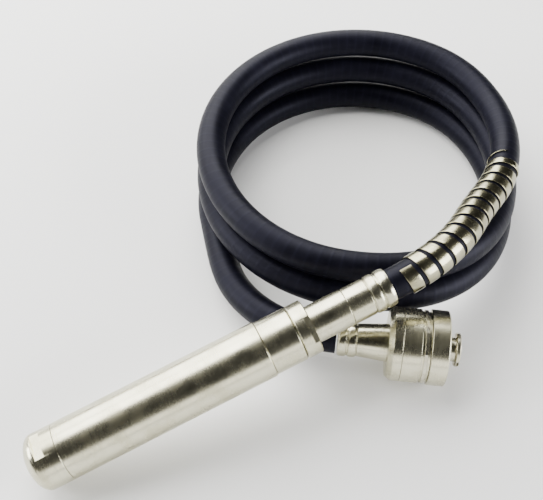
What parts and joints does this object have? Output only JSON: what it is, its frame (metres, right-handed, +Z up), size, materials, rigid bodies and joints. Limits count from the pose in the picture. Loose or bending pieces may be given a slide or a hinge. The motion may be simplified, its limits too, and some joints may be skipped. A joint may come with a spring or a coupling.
{
  "type": "concrete vibrator",
  "caption": "Poker-type concrete vibrator: a steel vibrating head on a coiled flexible drive hose with a band guard and a drive coupling.",
  "frame": {"origin": "on the floor, under the middle of the box of the vibrating head", "axes": "+X along the drive coupling's axis and out of its mouth, +Z up"},
  "size_m": [0.4954, 0.6425, 0.1371],
  "materials": {
    "polished_steel": "polished steel, warm, fine turning marks",
    "machined_steel": "bright machined steel",
    "band_steel": "flat rolled band, lightly worn",
    "bearing_steel": "ground and polished",
    "shaft_steel": "turned steel, oiled",
    "cast_weight": "dark, as cast",
    "cage_brass": "machined brass",
    "seal_rubber": "matte black",
    "hose_rubber": "blue-black rubber, satin, faint wrap marks"
  },
  "bodies": {
    "root": {"nose_cap": "polished_steel", "casing_tube": "polished_steel", "rear_housing": "polished_steel", "lock_collar": "polished_steel", "neck_tube": "polished_steel", "hose_adaptor": "polished_steel", "head_ferrule": "polished_steel", "drive_ferrule": "polished_steel", "drive_neck": "polished_steel", "back_cover": "polished_steel", "coupling_housing": "polished_steel", "front_ring": "polished_steel", "inner_sleeve": "machined_steel", "snap_ring": "machined_steel", "bearing_spacer": "machined_steel", "guard_band": "band_steel", "front_outer_race": "bearing_steel", "rear_outer_race": "bearing_steel", "drive_outer_race": "bearing_steel", "cap_o_ring": "seal_rubber", "rear_o_ring": "seal_rubber", "rotor_seal": "seal_rubber", "spindle_seal": "seal_rubber", "hose_lead": "hose_rubber", "hose_coil": "hose_rubber", "hose_tail": "hose_rubber"},
    "rotor": {"rotor_shaft": "shaft_steel", "eccentric_weight": "cast_weight", "front_inner_race": "bearing_steel", "rear_inner_race": "bearing_steel", "core_head_end": "shaft_steel"},
    "spindle": {"drive_spindle": "shaft_steel", "drive_dog": "machined_steel", "drive_inner_race": "bearing_steel", "core_drive_end": "shaft_steel"},
    "front_cage": {"front_ball_cage": "cage_brass"},
    "rear_cage": {"rear_ball_cage": "cage_brass"},
    "drive_cage": {"drive_ball_cage": "cage_brass"}
  },
  "joints": [
    {"name": "rotor_spin", "type": "hinge", "parent": "root", "child": "rotor", "pos_m": [-0.16002, -0.09356, 0.02874], "axis": [0.8396, 0.5019, 0.2079], "continuous": true},
    {"name": "spindle_spin", "type": "hinge", "parent": "root", "child": "spindle", "pos_m": [0.1213, 0.0776, 0.0405], "axis": [1, 0, 0], "continuous": true},
    {"name": "front_cage_spin", "type": "hinge", "parent": "root", "child": "front_cage", "pos_m": [-0.16002, -0.09356, 0.02874], "axis": [0.8396, 0.5019, 0.2079], "continuous": true},
    {"name": "rear_cage_spin", "type": "hinge", "parent": "root", "child": "rear_cage", "pos_m": [-0.16002, -0.09356, 0.02874], "axis": [0.8396, 0.5019, 0.2079], "continuous": true},
    {"name": "drive_cage_spin", "type": "hinge", "parent": "root", "child": "drive_cage", "pos_m": [0.1213, 0.0776, 0.0405], "axis": [1, 0, 0], "continuous": true}
  ],
  "couplings": [
    {"joint": "spindle_spin", "follows": "rotor_spin", "ratio": 1},
    {"joint": "front_cage_spin", "follows": "rotor_spin", "ratio": 0.4},
    {"joint": "rear_cage_spin", "follows": "rotor_spin", "ratio": 0.4},
    {"joint": "drive_cage_spin", "follows": "rotor_spin", "ratio": 0.4}
  ]
}
